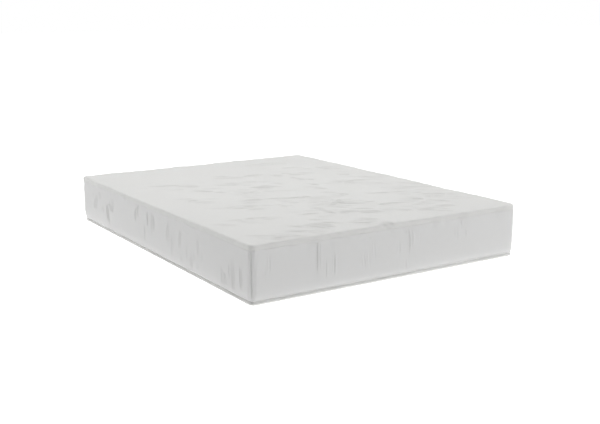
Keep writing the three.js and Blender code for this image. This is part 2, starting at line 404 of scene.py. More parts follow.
seam_depth = 0.4 * millimetre
seam_width = 1.6 * millimetre
panel_thickness = 4.5 * millimetre

top_profile = edge_profile(corner_radius, edge_radius, cover_top, top_seam)
top_reach = np.linalg.norm(np.diff(top_profile, axis=0), axis=1).sum()
edge_lines = np.array([34, 30.5, 27, 24, 21, 18, 15, 12, 9, 6, 3.5, 1.5, 0]) * millimetre
top_columns = grid_lines(core_x + top_reach, 6.6 * millimetre, edge_lines)
top_rows = grid_lines(core_y + top_reach, 5.0 * millimetre, edge_lines)
across, along = np.meshgrid(top_columns, top_rows)
top_points, top_place, top_rim_distance = bend_over(across, along, top_profile)


def places_on_top(rng, count):
    """The creases gather towards the foot and the right-hand side, and leave the head smooth."""
    places = []
    while len(places) < count:
        place = rng.uniform([-0.66, -0.98], [0.72, 0.95])
        crowding = 0.9 - 0.75 * (place[1] + 0.25) + 0.2 * place[0]
        if rng.uniform() < crowding:
            places.append(place)
    return places


top_crease_groups = 90
top_edge_calm = 45 * millimetre
top_rng = np.random.default_rng(8)
top_creases = crease_groups(top_rng, places_on_top(top_rng, top_crease_groups), top_style)
top_relief = crease_relief(top_place, top_creases)
top_relief *= ease_in(top_rim_distance, top_edge_calm)
top_cloth = np.stack([across, along], -1)
top_relief = settle(top_cloth, top_relief, top_rim_distance, spare=1.6, give=5 * millimetre)
top_relief += swell_height * swells(top_points)
top_relief += edge_wave_height * bell(top_rim_distance, edge_wave_reach) * edge_waves(top_points)
top_relief -= seam_depth * bell(top_rim_distance, seam_width)
top_normal = facing(top_points)
top_outer = top_points + top_normal * top_relief[..., None]
top_inner = top_points - top_normal * panel_thickness
top_panel = two_faced_sheet("top_panel_quilt", top_outer, top_inner, top_place)
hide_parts("cover_top_panel")
print("top panel", top_outer.shape, "relief", top_relief.min(), top_relief.max())

# %% [markdown]
# ## Borders
# Each border is a band of the same knit, from the corner seam at one end to the corner seam at the
# other. It hangs straight, then draws in above the floor where its hem is sewn to the zipper tape.
# Its creases stand upright, because the roll squeezed the sides from end to end. At the corner
# seams the two bands dive inwards together and pucker. The band is quilted thickly, and only its
# hem is thin enough to sew to the tape, so its thickness grows with the height.

# %% Helper: one border's surface
border_profile_heights = np.array([21.5, 30, 40, 52, 66, 250]) * millimetre
border_profile_insets = np.array([5.9, 3.4, 1.6, 0.4, 0, 0]) * millimetre
border_profile_thickness = np.array([2.4, 3.0, 4.0, 5.0, 5.8, 5.8]) * millimetre


def border_surface(run, heights, half_straight, half_across):
    """The foot border's points: run is the distance along it from its middle."""
    inset = np.interp(heights, border_profile_heights, border_profile_insets)
    past = np.clip(np.abs(run) - half_straight, 0, None)
    turn = past / corner_radius
    radius = corner_radius - inset
    along = np.clip(run, -half_straight, half_straight) + np.sign(run) * radius * np.sin(turn)
    out = half_across + radius * np.cos(turn)
    return np.stack([along, -out, heights], -1)


border_places = {
    "foot": (0, core_x, core_y),
    "right": (1, core_y, core_x),
    "head": (2, core_x, core_y),
    "left": (3, core_y, core_x),
}


# %% Helper: puckers beside the corner seams
groove_depth = 2.8 * millimetre
groove_width = 2.8 * millimetre
groove_change = 1.0 * millimetre
pucker_height = 0.9 * millimetre
pucker_reach = 18 * millimetre
short_pucker = 6.5 * millimetre
long_pucker = 17 * millimetre
fold_foot = 70 * millimetre
fold_rise = 170 * millimetre
fold_start = 12 * millimetre
fold_ridge = 0.5 * millimetre


def corner_puckers(run_to_seam, heights, rng):
    """The seam's own groove, short puckers that fan out of it, and one long fold that leaves the
    seam below its middle and leans away from it towards the top."""
    wobble = np.sin(heights / short_pucker + rng.uniform(0, 6))
    wobble *= np.sin(heights / long_pucker + 1.3)
    groove = -groove_depth * bell(run_to_seam, groove_width + groove_change * wobble)
    puckers = pucker_height * wobble * np.exp(-run_to_seam / pucker_reach)
    climb = np.clip((heights - fold_foot) / fold_rise, 0, 1)
    lean = rng.uniform(14, 26) * millimetre
    fold = run_to_seam - fold_start - lean * climb**2
    valley = -rng.uniform(0.5, 1.1) * millimetre * bell(fold, 5 * millimetre)
    ridge = fold_ridge * bell(fold - 16 * millimetre, 10 * millimetre)
    return groove + puckers + (valley + ridge) * (0.35 + 0.65 * climb)


# %% Shape the four borders
border_length_pitch = 3.3 * millimetre
border_height_pitch = 5.6 * millimetre
rim_lines = np.array([12, 9, 6, 3, 0]) * millimetre
corner_calm = 50 * millimetre
top_calm = 20 * millimetre
hem_calm = 30 * millimetre
label_calm = 30 * millimetre
under_edge_height = 210 * millimetre
under_edge_groups = 5
under_edge_margin = 60 * millimetre
# Where the groups of upright folds are: (along the border from its middle, height).
end_folds = [(-0.68, 0.15), (-0.40, 0.14), (-0.15, 0.15), (0.07, 0.14), (0.17, 0.19), (0.38, 0.20)]
side_folds = [
    (0.83, 0.10), (0.50, 0.13), (0.45, 0.07), (0.27, 0.19), (0.02, 0.18), (-0.07, 0.11),
    (-0.19, 0.17), (-0.55, 0.15), (-0.61, 0.09), (-0.77, 0.14), (-0.82, 0.18),
]
border_folds = {
    "foot": (end_folds, end_style),
    "right": (side_folds, side_style),
    "head": (end_folds, end_style),
    "left": (side_folds, side_style),
}


def beside_label(run, heights):
    """Distance from the label along the head border. The cloth behind the label lies flat."""
    low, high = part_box("law_label")
    sideways = np.abs(run + (low.x + high.x) / 2) - (high.x - low.x) / 2
    upwards = np.abs(heights - (low.z + high.z) / 2) - (high.z - low.z) / 2
    return np.clip(np.maximum(sideways, upwards), 0, None)


def border(side):
    quarter_turns, half_straight, half_across = border_places[side]
    rng = np.random.default_rng(31 + quarter_turns)
    half_run = half_straight + corner_radius * math.pi / 4 - gap
    runs = grid_lines(half_run, border_length_pitch, rim_lines)
    middle_height = (hem + top_seam - gap) / 2
    half_height = (top_seam - gap - hem) / 2
    rows = middle_height + grid_lines(half_height, border_height_pitch, rim_lines)
    run, heights = np.meshgrid(runs, rows)
    points = border_surface(run, heights, half_straight, half_across)
    place = np.stack([run, heights], -1)
    to_seam = half_run - np.abs(run)
    to_top = heights.max() - heights
    to_hem = heights - heights.min()
    middles, style = border_folds[side]
    upright = crease_groups(rng, np.array(middles), style)
    farthest = half_run - under_edge_margin
    edge_runs = rng.uniform(-farthest, farthest, under_edge_groups)
    under_edge = [np.array([middle, under_edge_height]) for middle in edge_runs]
    level = crease_groups(rng, under_edge, under_edge_style)
    calm = ease_in(to_top, top_calm) * ease_in(to_hem, hem_calm)
    relief = crease_relief(place, upright + level) * ease_in(to_seam, corner_calm) * calm
    to_rim = np.minimum(to_seam, np.minimum(to_top, to_hem))
    relief = settle(place, relief, to_rim, spare=1.25, give=5 * millimetre)
    relief += corner_puckers(to_seam, heights, rng) * calm
    angle = quarter_turns * math.pi / 2
    spin = np.array(Matrix.Rotation(angle, 3, "Z"))
    points = points @ spin.T
    relief += swell_height * swells(points)
    relief += edge_wave_height * bell(to_top, edge_wave_reach) * edge_waves(points)
    relief -= seam_depth * bell(to_top, seam_width)
    if side == "head":
        relief *= ease_in(beside_label(run, heights), label_calm)
    normal = facing(points)
    outer = points + normal * relief[..., None]
    thickness = np.interp(heights, border_profile_heights, border_profile_thickness)
    inner = points - normal * thickness[..., None]
    piece = two_faced_sheet(f"border_{side}_knit", outer, inner, place)
    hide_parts(f"cover_border_{side}")
    print(piece.name, outer.shape, "relief", relief.min(), relief.max())
    return piece


borders = [border(side) for side in border_places]

# %% [markdown]
# ## Bottom panel
# The bottom panel is a shallow tray of hard-wearing cloth. It lies flat on the bed base, and its
# edge turns up by a finger's width to meet the zipper. It is the same bent sheet as the top, made
# with its rows reversed so that it faces down.

# %% Shape the bottom panel
bottom_thickness = 1.7 * millimetre
inset_and_height = np.array([[10, 0], [7.2, 1.2], [5.6, 3], [5.2, 5], [5.2, 8.8], [5.8, 9.6]])
bottom_profile = np.array([corner_radius, 0]) + inset_and_height * millimetre * [-1, 1]
bottom_profile = np.concatenate([[[0, 0]], bottom_profile])
bottom_reach = np.linalg.norm(np.diff(bottom_profile, axis=0), axis=1).sum()
tray_lines = np.array([20, 18, 16, 14.5, 13, 11.5, 10, 8, 4, 2, 1, 0.5, 0]) * millimetre
bottom_columns = grid_lines(core_x + bottom_reach, 20 * millimetre, tray_lines)
bottom_rows = grid_lines(core_y + bottom_reach, 20 * millimetre, tray_lines)
across, along = np.meshgrid(bottom_columns, bottom_rows[::-1])
bottom_points, bottom_place, _ = bend_over(across, along, bottom_profile)
bottom_inner = bottom_points - facing(bottom_points) * bottom_thickness
bottom_panel = two_faced_sheet("bottom_panel_cloth", bottom_points, bottom_inner, bottom_place)
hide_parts("cover_bottom_panel")
print("bottom panel", bottom_points.shape)

# %% [markdown]
# ## Zipper
# The zipper runs right round the mattress, set back between the borders' hem and the bottom panel,
# so that a shadow marks it all round. Its tapes and coils are long thin shapes of one section, so
# one helper sweeps a section along the zipper's line. A coil is wound wire: swelling and thinning
# the section along the run, with a twist from point to point, gives its slanting turns without
# modelling a spiral.

# %% Helper: the zipper's line and a section swept along it
zipper_inset = 9 * millimetre
end_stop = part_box("zipper_end_stop")
start_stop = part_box("zipper_start_stop")
zipper_bend = corner_radius - zipper_inset


def round_the_mattress(start_x, end_x, pitch):
    """Points and outward directions along the zipper's line, from one place on the head side
    clockwise round to another."""
    quarter = zipper_bend * math.pi / 2
    sides = [core_x - start_x, 2 * core_y, 2 * core_x, 2 * core_y, core_x + end_x]
    run_ends = np.cumsum([sides[0]] + [length for side in sides[1:] for length in (quarter, side)])
    distance = np.linspace(0, run_ends[-1], round(run_ends[-1] / pitch) + 1)
    corner_middles = [(core_x, core_y), (core_x, -core_y), (-core_x, -core_y), (-core_x, core_y)]
    angle = np.full(len(distance), math.pi / 2)
    middle = np.zeros((len(distance), 2))
    heading = math.pi / 2
    start = np.array([start_x, core_y])
    for part, end in enumerate(run_ends):
        begin = run_ends[part - 1] if part else 0
        here = (distance >= begin - 1e-9) & (distance <= end + 1e-9)
        travelled = distance[here] - begin
        if part % 2:
            middle[here] = start = np.array(corner_middles[part // 2])
            angle[here] = heading - travelled / zipper_bend
            heading -= math.pi / 2
        else:
            ahead = np.array([math.sin(heading), -math.cos(heading)])
            middle[here] = start + travelled[:, None] * ahead
            angle[here] = heading
    outward = np.stack([np.cos(angle), np.sin(angle)], -1)
    return middle + outward * zipper_bend, outward, distance


def ring_faces(index, closed=False):
    """Faces between each ring of point numbers and the next, and from last to first if closed."""
    after = np.roll(index, -1, axis=0) if closed else index[1:]
    before = index if closed else index[:-1]
    quads = [before, np.roll(before, -1, 1), np.roll(after, -1, 1), after]
    return np.stack(quads, -1).reshape(-1, 4).tolist()


def sweep(name, line, outward, section, closed=False):
    """section holds (out, height) for every point of the section, at each place on the line."""
    places, count = section.shape[:2]
    flat = line[:, None] + outward[:, None] * section[..., :1]
    points = np.concatenate([flat, section[..., 1:]], -1).reshape(-1, 3)
    index = np.arange(places * count).reshape(places, count)
    faces = ring_faces(index, closed)
    if not closed:
        faces += [index[0][::-1].tolist(), index[-1].tolist()]
    travelled = np.concatenate([[0], np.cumsum(np.linalg.norm(np.diff(line, axis=0), axis=1))])
    place = np.stack([np.repeat(travelled, count), np.tile(section[0, :, 1], places)], -1)
    return make_piece(name, points, faces, place)


# %% Sweep the tapes
tape_start = 631.5 * millimetre
tape_end = 630.5 * millimetre
tape_half_thickness = 0.38 * millimetre
tape_bevel = 0.5 * millimetre


def tape(which):
    """A flat ribbon with bevelled edges. It ends on the head side, a millimetre from its start."""
    node = f"zipper_tape_{which}"
    low, high = (corner.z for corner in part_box(node))
    line, outward, _ = round_the_mattress(tape_start, tape_end, 12 * millimetre)
    half = tape_half_thickness
    corners = [(-half, low + tape_bevel), (0, low), (half, low + tape_bevel)]
    corners += [(half, high - tape_bevel), (0, high), (-half, high - tape_bevel)]
    section = np.tile(np.array(corners), (len(line), 1, 1))
    piece = sweep(f"{node}_woven", line, outward, section)
    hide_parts(node)
    return piece


tapes = [tape("upper"), tape("lower")]
print("tape points", len(tapes[0].data.vertices))

# %% Sweep the coils
turn_pitch = 3.6 * millimetre
coil_radius = 1.25 * millimetre
coil_nearer = 0.15 * millimetre
points_round_coil = 6


def coil(which, lean):
    """lean is 1 for the upper coil and -1 for the lower, whose turns slant the other way."""
    node = f"zipper_coil_{which}"
    low, high = (corner.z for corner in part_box(node))
    ends = start_stop[1].x + gap, end_stop[0].x - gap
    line, outward, travelled = round_the_mattress(*ends, turn_pitch / 4)
    middle = (low + high) / 2 - lean * coil_nearer
    around = np.linspace(0, 2 * math.pi, points_round_coil + 1)[:-1]
    turns = 2 * math.pi * travelled[:, None] / turn_pitch + lean * around
    thickness = 0.92 + 0.08 * np.cos(turns)
    out = coil_radius * thickness * np.cos(around)
    height = middle + coil_radius * thickness * np.sin(around)
    piece = sweep(f"{node}_wound", line, outward, np.stack([out, height], -1))
    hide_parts(node)
    return piece


coils = [coil("upper", 1), coil("lower", -1)]
print("coil points", len(coils[0].data.vertices))

# %% [markdown]
# The slider, its pull tab and the stops are small metal castings. Their plain solids have the
# right shape but knife-sharp edges, so each is copied, its flat facets are joined, and every edge
# gets a small bevel to catch the light.

# %% Bevel the metal parts
def cast_part(node, name, body, edge):
    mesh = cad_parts[node].data.copy()
    shape = bmesh.new()
    shape.from_mesh(mesh)
    bmesh.ops.remove_doubles(shape, verts=shape.verts, dist=1e-6)
    bmesh.ops.dissolve_limit(
        shape, angle_limit=math.radians(4), verts=shape.verts, edges=shape.edges
    )
    sharp = [e for e in shape.edges if e.calc_face_angle(0) > math.radians(35)]
    bmesh.ops.bevel(
        shape, geom=sharp, offset=edge, segments=2, profile=0.6, affect="EDGES", clamp_overlap=True
    )
    bmesh.ops.triangulate(shape, faces=[f for f in shape.faces if len(f.verts) > 4])
    shape.to_mesh(mesh)
    shape.free()
    mesh.polygons.foreach_set("use_smooth", [False] * len(mesh.polygons))
    piece = bpy.data.objects.new(name, mesh)
    scene.collection.objects.link(piece)
    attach(piece, body)
    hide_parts(node)
    return piece


slider = cast_part("zipper_slider", "zipper_slider_cast", "slider", 0.22 * millimetre)
pull_tab = cast_part("zipper_pull_tab", "zipper_pull_tab_cast", "pull_tab", 0.16 * millimetre)
stops = [
    cast_part("zipper_end_stop", "zipper_end_stop_pressed", "mattress", 0.3 * millimetre),
    cast_part("zipper_start_stop", "zipper_start_stop_pressed", "mattress", 0.3 * millimetre),
]
print("slider faces", len(slider.data.polygons))

# %% [markdown]
# ## Foam layers
# The core is three slabs cut from foam blocks and glued: firm base foam, a softer transition
# layer, and slow-recovery memory foam on top. Their sides carry the faint waves that a foam
# cutter's blade leaves. Each slab is a stack of outlines, closed above and below.

# %% Helper: outlines stacked into a closed block
corner_points = 7
side_points = 60


def outline(half_x, half_y, radius):
    """A rounded rectangle, with the same number of points whatever its size."""
    corners = []
    for quarter, (side_x, side_y) in enumerate([(1, 1), (-1, 1), (-1, -1), (1, -1)]):
        angles = (quarter + np.linspace(0, 1, corner_points)) * math.pi / 2
        middle = np.array([side_x * (half_x - radius), side_y * (half_y - radius)])
        corners.append(middle + radius * np.stack([np.cos(angles), np.sin(angles)], -1))
    walk = []
    for here, after in zip(corners, corners[1:] + corners[:1]):
        share = np.linspace(0, 1, side_points + 1)[1:-1, None]
        walk += [here, here[-1] * (1 - share) + after[0] * share]
    return np.concatenate(walk)


def at_height(ring, height):
    return np.concatenate([ring, np.full((len(ring), 1), height)], -1)


def stack(name, rings):
    """Joins rings of equal length, first to last, and closes both ends with flat faces."""
    index = np.arange(len(rings) * len(rings[0])).reshape(len(rings), -1)
    faces = ring_faces(index) + [index[0][::-1].tolist(), index[-1].tolist()]
    points = np.concatenate(rings)
    return make_piece(name, points, faces, points[:, :2])


def quarter_round(start, end, steps, steep_first):
    """(inset, height) from start to end along a quarter of an ellipse."""
    angles = np.linspace(0, math.pi / 2, steps)
    fast, slow = np.sin(angles), 1 - np.cos(angles)
    across, up = (slow, fast) if steep_first else (fast, slow)
    start, end = np.array(start), np.array(end)
    return start + (end - start) * np.stack([across, up], -1)


# %% Cut the foam layers
foam_inset = 10 * millimetre
foam_corner = corner_radius - foam_inset
foam_bottom_radius = 37.7 * millimetre
foam_top_radius = 18.2 * millimetre
least_corner = 4 * millimetre
blade_mark = 0.35 * millimetre
blade_pitch = 2.1 * millimetre
rings_up_the_side = 14
rings_in_a_round = 8


def foam_slab(name, node, bottom_round, top_round):
    low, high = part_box(node)[0].z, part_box(node)[1].z
    side_low, side_high = low + bottom_round, high - top_round
    side = np.linspace(side_low, side_high, rings_up_the_side)
    levels = [np.stack([0 * side, side], -1)]
    if bottom_round:
        below = quarter_round([bottom_round, low], [0, side_low], rings_in_a_round, False)
        levels.insert(0, below[:-1])
    if top_round:
        above = quarter_round([0, side_high], [top_round, high], rings_in_a_round, True)
        levels.append(above[1:])
    rings = []
    for inset, height in np.concatenate(levels):
        ring = outline(
            half_width - foam_inset - inset,
            half_length - foam_inset - inset,
            max(foam_corner - inset, least_corner),
        )
        wave = np.sin(height / blade_pitch + 9 * ring[:, 0] + 7 * ring[:, 1])
        shrink = 1 - blade_mark * (1 + wave) / np.linalg.norm(ring, axis=1)
        rings.append(at_height(ring * shrink[:, None], height))
    slab = stack(name, rings)
    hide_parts(node)
    print(name, "from", round(low, 4), "to", round(high, 4))
    return slab


base_foam = foam_slab("base_foam_slab", "base_foam_core", foam_bottom_radius, 0)
transition_foam = foam_slab(
    "transition_foam_slab", "transition_foam_layer", 0, 0
)
memory_foam = foam_slab("memory_foam_slab", "memory_foam_layer", 0, foam_top_radius)

# %% [markdown]
# ## Fire-barrier sock
# A thin knit sock is drawn over the foam from above. Its mouth is left open underneath, inside an
# elastic that holds it in place. The sock is one closed skin: up the outside from the mouth,
# over the top, and back down the inside.

# %% Knit the sock and its elastic
sock_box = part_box("fire_barrier_sock")
elastic_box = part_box("sock_elastic_band")
mouth_x = elastic_box[1].x + gap
mouth_y = elastic_box[1].y + gap
mouth_radius = 120 * millimetre
sock_thickness = 1.3 * millimetre


def sock_rings(inset, low, high):
    """Rings from the mouth out over the underside, up the side and onto the top."""
    bottom_round = foam_bottom_radius + foam_inset - inset
    top_round = foam_top_radius + foam_inset - inset
    side_low, side_high = low + bottom_round, high - top_round
    levels = [
        quarter_round([bottom_round, low], [0, side_low], 10, False),
        [[0, height] for height in np.linspace(side_low, side_high, 12)[1:-1]],
        quarter_round([0, side_high], [top_round, high], 8, True),
    ]
    rings = []
    for extra, height in np.concatenate(levels):
        size_x = half_width - inset - extra
        size_y = half_length - inset - extra
        ring = outline(size_x, size_y, max(corner_radius - inset - extra, least_corner))
        rings.append(at_height(ring, height))
    mouth = at_height(outline(mouth_x, mouth_y, mouth_radius), low)
    under = [mouth + (rings[0] - mouth) * share for share in np.linspace(0, 1, 9)[:-1]]
    return under + rings


sock_inset = half_width - sock_box[1].x
outside = sock_rings(sock_inset, sock_box[0].z, sock_box[1].z)
inside = sock_rings(
    sock_inset + sock_thickness, sock_box[0].z + sock_thickness, sock_box[1].z - sock_thickness
)
skins = np.arange(2 * len(outside) * len(outside[0])).reshape(2, len(outside), -1)
sock_faces = ring_faces(skins[0]) + [skins[0, -1].tolist()]
sock_faces += [face[::-1] for face in ring_faces(skins[1])] + [skins[1, -1][::-1].tolist()]
sock_faces += ring_faces(np.stack([skins[1, 0], skins[0, 0]]))
sock_points = np.concatenate(outside + inside)
sock_place = sock_points[:, :2] + sock_points[:, 2:]
sock = make_piece("fire_barrier_sock_knit", sock_points, sock_faces, sock_place)
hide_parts("fire_barrier_sock")

elastic_line = outline(mouth_x - gap, mouth_y - gap, mouth_radius)
elastic_line = np.concatenate(
    [elastic_line[:-1], (elastic_line[-1:] + elastic_line[:1]) / 2]
)
elastic_out = elastic_line - np.roll(elastic_line, 1, 0)
elastic_out = elastic_out + np.roll(elastic_out, -1, 0)
elastic_out = np.stack([elastic_out[:, 1], -elastic_out[:, 0]], -1)
elastic_out /= np.linalg.norm(elastic_out, axis=1)[:, None]
low, high = elastic_box[0].z, elastic_box[1].z
elastic_width = 10 * millimetre
rib_depth = 0.15 * millimetre
ribs = np.linspace(0, 1, 9)
groove = rib_depth * (np.arange(len(ribs)) % 2)
upper_ribs = high - groove
lower_ribs = low + groove
rib_section = np.concatenate(
    [
        np.stack([-elastic_width * ribs, lower_ribs], -1)[::-1],
        np.stack([-elastic_width * ribs, upper_ribs], -1),
    ]
)
elastic = sweep(
    "sock_elastic_ribbed", elastic_line, elastic_out,
    np.tile(rib_section, (len(elastic_line), 1, 1)), closed=True,
)
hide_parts("sock_elastic_band")

# %% [markdown]
# ## Label
# Every mattress carries a sewn-in cloth label. This one is left blank. It hangs from its stitched
# upper edge on the head border, and its lower edge curls away from the cover.

# %% Sew on the label
label_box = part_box("law_label")
label_columns, label_rows = 25, 29
label_thickness = 0.45 * millimetre
label_curl = 3.5 * millimetre
label_wave = 1.2 * millimetre
share_across, share_down = np.meshgrid(
    np.linspace(1, 0, label_columns), np.linspace(1, 0, label_rows)
)
label_x = label_box[0].x + (label_box[1].x - label_box[0].x) * share_across
label_z = label_box[1].z - (label_box[1].z - label_box[0].z) * share_down
curl = label_curl * share_down**2 + label_wave * np.sin(2.4 * share_across + 1) * share_down
label_y = label_box[0].y + label_thickness + curl
label_points = np.stack([label_x, label_y, label_z], -1)
label_inner = label_points - np.array([0, label_thickness, 0])
label_place = np.stack([label_x, label_z], -1)
label = two_faced_sheet("law_label_blank", label_points, label_inner, label_place, "label")
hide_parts("law_label")

# %% [markdown]
# ## The flat patterns
# Each cloth was cut flat before it was sewn. The top and the bottom panel are rectangles with
# rounded corners, long enough to turn over the edge. A border is a plain band. The sock is one
# piece whose corners are cut away, so its area is less than its width times its length.


# %% [markdown]
# ## Materials
# A material is a small graph of nodes that ends in one shader. One helper adds a node, sets its
# plain values and links the rest, so that each recipe below reads as a list. Small helpers do what
# almost every recipe needs: paint, noise, and a place on the cloth or in space.

# %% Helper: nodes and a base shader
def add(tree, kind, inputs=None, **settings):
    node = tree.nodes.new(kind)
    for name, value in settings.items():
        setattr(node, name, value)
    for socket, value in (inputs or {}).items():
        if isinstance(value, bpy.types.NodeSocket):
            tree.links.new(value, node.inputs[socket])
        else:
            node.inputs[socket].default_value = value
    return node


def maths(tree, operation, first, second=0.0):
    node = add(tree, "ShaderNodeMath", {0: first, 1: second}, operation=operation)
    return node.outputs[0]


def start_material(name, roughness, sheen=0.0, metallic=0.0, specular=0.3):
    material = bpy.data.materials.new(name)
    material.use_nodes = True
    tree = material.node_tree
    shader = tree.nodes["Principled BSDF"]
    shader.inputs["Roughness"].default_value = roughness
    shader.inputs["Metallic"].default_value = metallic
    shader.inputs["Sheen Weight"].default_value = sheen
    shader.inputs["Sheen Roughness"].default_value = 0.5
    shader.inputs["Specular IOR Level"].default_value = specular
    return material, tree, shader


def mix_colours(tree, share, first, second):
    node = add(tree, "ShaderNodeMix", data_type="RGBA")
    tree.links.new(share, node.inputs["Factor"])
    for socket, colour in (("A", first), ("B", second)):
        target = next(i for i in node.inputs if i.name == socket and i.type == "RGBA")
        if isinstance(colour, bpy.types.NodeSocket):
            tree.links.new(colour, target)
        else:
            target.default_value = (*colour, 1)
    return next(o for o in node.outputs if o.type == "RGBA")


def paint(tree, shader, share, first, second):
    """Gives the surface a colour that goes from the first to the second with the share."""
    tree.links.new(mix_colours(tree, share, first, second), shader.inputs["Base Color"])


def paint_over(tree, shader, share, colour):
    """Lays a colour over the one the surface already has, where the share is 1."""
    ground = shader.inputs["Base Color"].links[0].from_socket
    paint(tree, shader, share, ground, colour)


def noise(tree, place, scale, detail):
    node = add(tree, "ShaderNodeTexNoise", {"Vector": place, "Scale": scale, "Detail": detail})
    return node.outputs["Fac"]


def place_on_cloth(tree):
    return add(tree, "ShaderNodeUVMap", uv_map="cloth").outputs["UV"]


def place_in_space(tree):
    return add(tree, "ShaderNodeTexCoord").outputs["Object"]


def split_axes(tree, place):
    return add(tree, "ShaderNodeSeparateXYZ", {"Vector": place}).outputs


def raise_surface(tree, shader, height, depth, strength):
    bump = add(
        tree, "ShaderNodeBump", {"Height": height, "Distance": depth, "Strength": strength}
    )
    tree.links.new(bump.outputs["Normal"], shader.inputs["Normal"])


# %% [markdown]
# Knit is columns of small V-shaped loops. Folding the distance across a column makes both legs of
# the V, and that fold shifts a wave that runs along the column. Slow noise makes some loops
# stand a little prouder, as they do where the fibre behind them is uneven. The hollows between the
# loops are painted in a darker shaded colour, as painted shade.

# %% Stretch knit of the top and the borders
def knit_loops(tree, column, row):
    place = place_on_cloth(tree)
    axes = split_axes(tree, place)
    leg = maths(tree, "PINGPONG", axes["X"], column / 2)
    leg = maths(tree, "DIVIDE", leg, column / 2)
    along = maths(tree, "DIVIDE", axes["Y"], row)
    slanted = maths(tree, "MULTIPLY", leg, 0.6)
    slanted = maths(tree, "ADD", slanted, along)
    wave = maths(tree, "SINE", maths(tree, "MULTIPLY", slanted, 2 * math.pi))
    across = maths(tree, "SINE", maths(tree, "MULTIPLY", leg, math.pi))
    loops = maths(tree, "MULTIPLY", maths(tree, "ADD", wave, 1.3), across)
    uneven = maths(tree, "ADD", noise(tree, place, 45, 3), 0.5)
    return maths(tree, "MULTIPLY", loops, uneven), place


def stitch_line(tree, place, height, stitch=0.0036, thread=0.0005):
    """1 on the stitches of a line sewn along the cloth at the given height, 0 beside them."""
    axes = split_axes(tree, place)
    off_line = maths(tree, "ABSOLUTE", maths(tree, "SUBTRACT", axes["Y"], height))
    on_line = maths(tree, "LESS_THAN", off_line, thread)
    turn = maths(tree, "FRACT", maths(tree, "DIVIDE", axes["X"], stitch))
    return maths(tree, "MULTIPLY", on_line, maths(tree, "LESS_THAN", turn, 0.72))


def knit_material(name, colour, shaded, column=0.0021, row=0.0017, hem_stitches=None):
    material, tree, shader = start_material(name, 0.85, sheen=0.12)
    loops, place = knit_loops(tree, column, row)
    soft = maths(tree, "MULTIPLY", noise(tree, place, 2.2, 2), 0.35)
    # Painted shade: the colour turns to the shaded one where the loops lie low; the slow noise is
    # the knit's own uneven tone.
    depth = maths(tree, "MULTIPLY", maths(tree, "SUBTRACT", 2.3, loops), 0.3)
    share = maths(tree, "ADD", maths(tree, "ADD", soft, depth), 0.5)
    share.node.use_clamp = True
    paint(tree, shader, share, colour, shaded)
    raise_surface(tree, shader, loops, 0.35 * millimetre, 0.35)
    # The hem stitches are painted darker: the thread, and painted shade in the dent it sews into
    # the knit.
    if hem_stitches:
        paint_over(tree, shader, stitch_line(tree, place, hem_stitches), (0.52, 0.52, 0.51))
    return material


top_knit = knit_material("top_stretch_knit", (0.712, 0.712, 0.70), (0.632, 0.632, 0.62))
border_knit = knit_material(
    "border_stretch_knit",
    (0.706, 0.706, 0.702),
    (0.626, 0.626, 0.622),
    hem_stitches=hem + 5 * millimetre,
)

# %% [markdown]
# The bottom panel is a plain weave. Its underside has rows of small grip dots, so that the
# mattress doesn't slide on its base. Woven tape has the same over-and-under threads, finer. The low
# places between the threads are painted in a darker shaded colour, as painted shade.

# %% Plain weaves: bottom cloth, tapes and label, and the sock's knit
def plain_weave(tree, thread):
    place = place_on_cloth(tree)
    axes = split_axes(tree, place)
    turns = [
        maths(tree, "SINE", maths(tree, "MULTIPLY", axes[axis], math.pi / thread))
        for axis in ("X", "Y")
    ]
    over = maths(tree, "MULTIPLY", *turns)
    threads = [maths(tree, "ABSOLUTE", turn) for turn in turns]
    round_threads = maths(tree, "MULTIPLY", *threads)
    return maths(tree, "ADD", maths(tree, "MULTIPLY", over, 0.5), round_threads), place


def woven_material(name, colour, shaded, thread, depth, roughness=0.8, sheen=0.1):
    material, tree, shader = start_material(name, roughness, sheen=sheen)
    weave, place = plain_weave(tree, thread)
    fibre = maths(tree, "MULTIPLY", noise(tree, place, 160, 4), 0.5)
    height = maths(tree, "ADD", weave, fibre)
    # Painted shade: the low places of the weave take the shaded colour.
    share = add(
        tree, "ShaderNodeMapRange",
        {"Value": height, "From Min": -0.2, "From Max": 1.5, "To Min": 1.0, "To Max": 0.0},
    ).outputs["Result"]
    paint(tree, shader, share, colour, shaded)
    raise_surface(tree, shader, height, depth, 0.5)
    return material, tree, shader, place


def grip_cloth():
    material, tree, shader, place = woven_material(
        "bottom_grip_cloth", (0.82, 0.82, 0.80), (0.72, 0.72, 0.70), 0.0009, 0.0004
    )
    dots = add(
        tree, "ShaderNodeTexVoronoi", {"Vector": place, "Scale": 125, "Randomness": 0.0},
        voronoi_dimensions="2D",
    )
    dot = maths(tree, "LESS_THAN", dots.outputs["Distance"], 0.22)
    normal = add(tree, "ShaderNodeNewGeometry").outputs["Normal"]
    underneath = maths(tree, "LESS_THAN", split_axes(tree, normal)["Z"], -0.5)
    paint_over(tree, shader, maths(tree, "MULTIPLY", dot, underneath), (0.66, 0.66, 0.64))
    return material


grip = grip_cloth()
webbing = woven_material(
    "zipper_tape_weave", (0.92, 0.92, 0.91), (0.84, 0.84, 0.83), 0.0006, 0.0003
)[0]
satin, satin_tree, satin_shader, satin_place = woven_material(
    "label_satin", (0.74, 0.74, 0.73), (0.66, 0.66, 0.65), 0.00035, 0.0001, 0.5, 0.3
)
# The label's stitches are painted darker: the thread, and painted shade in the dent it sews.
label_stitches_and_dent_shade = stitch_line(satin_tree, satin_place, label_box[1].z - 3 * millimetre)
paint_over(satin_tree, satin_shader, label_stitches_and_dent_shade, (0.45, 0.45, 0.44))
barrier = knit_material("barrier_sock_knit", (0.80, 0.79, 0.74), (0.66, 0.65, 0.60), 0.0030, 0.0026)
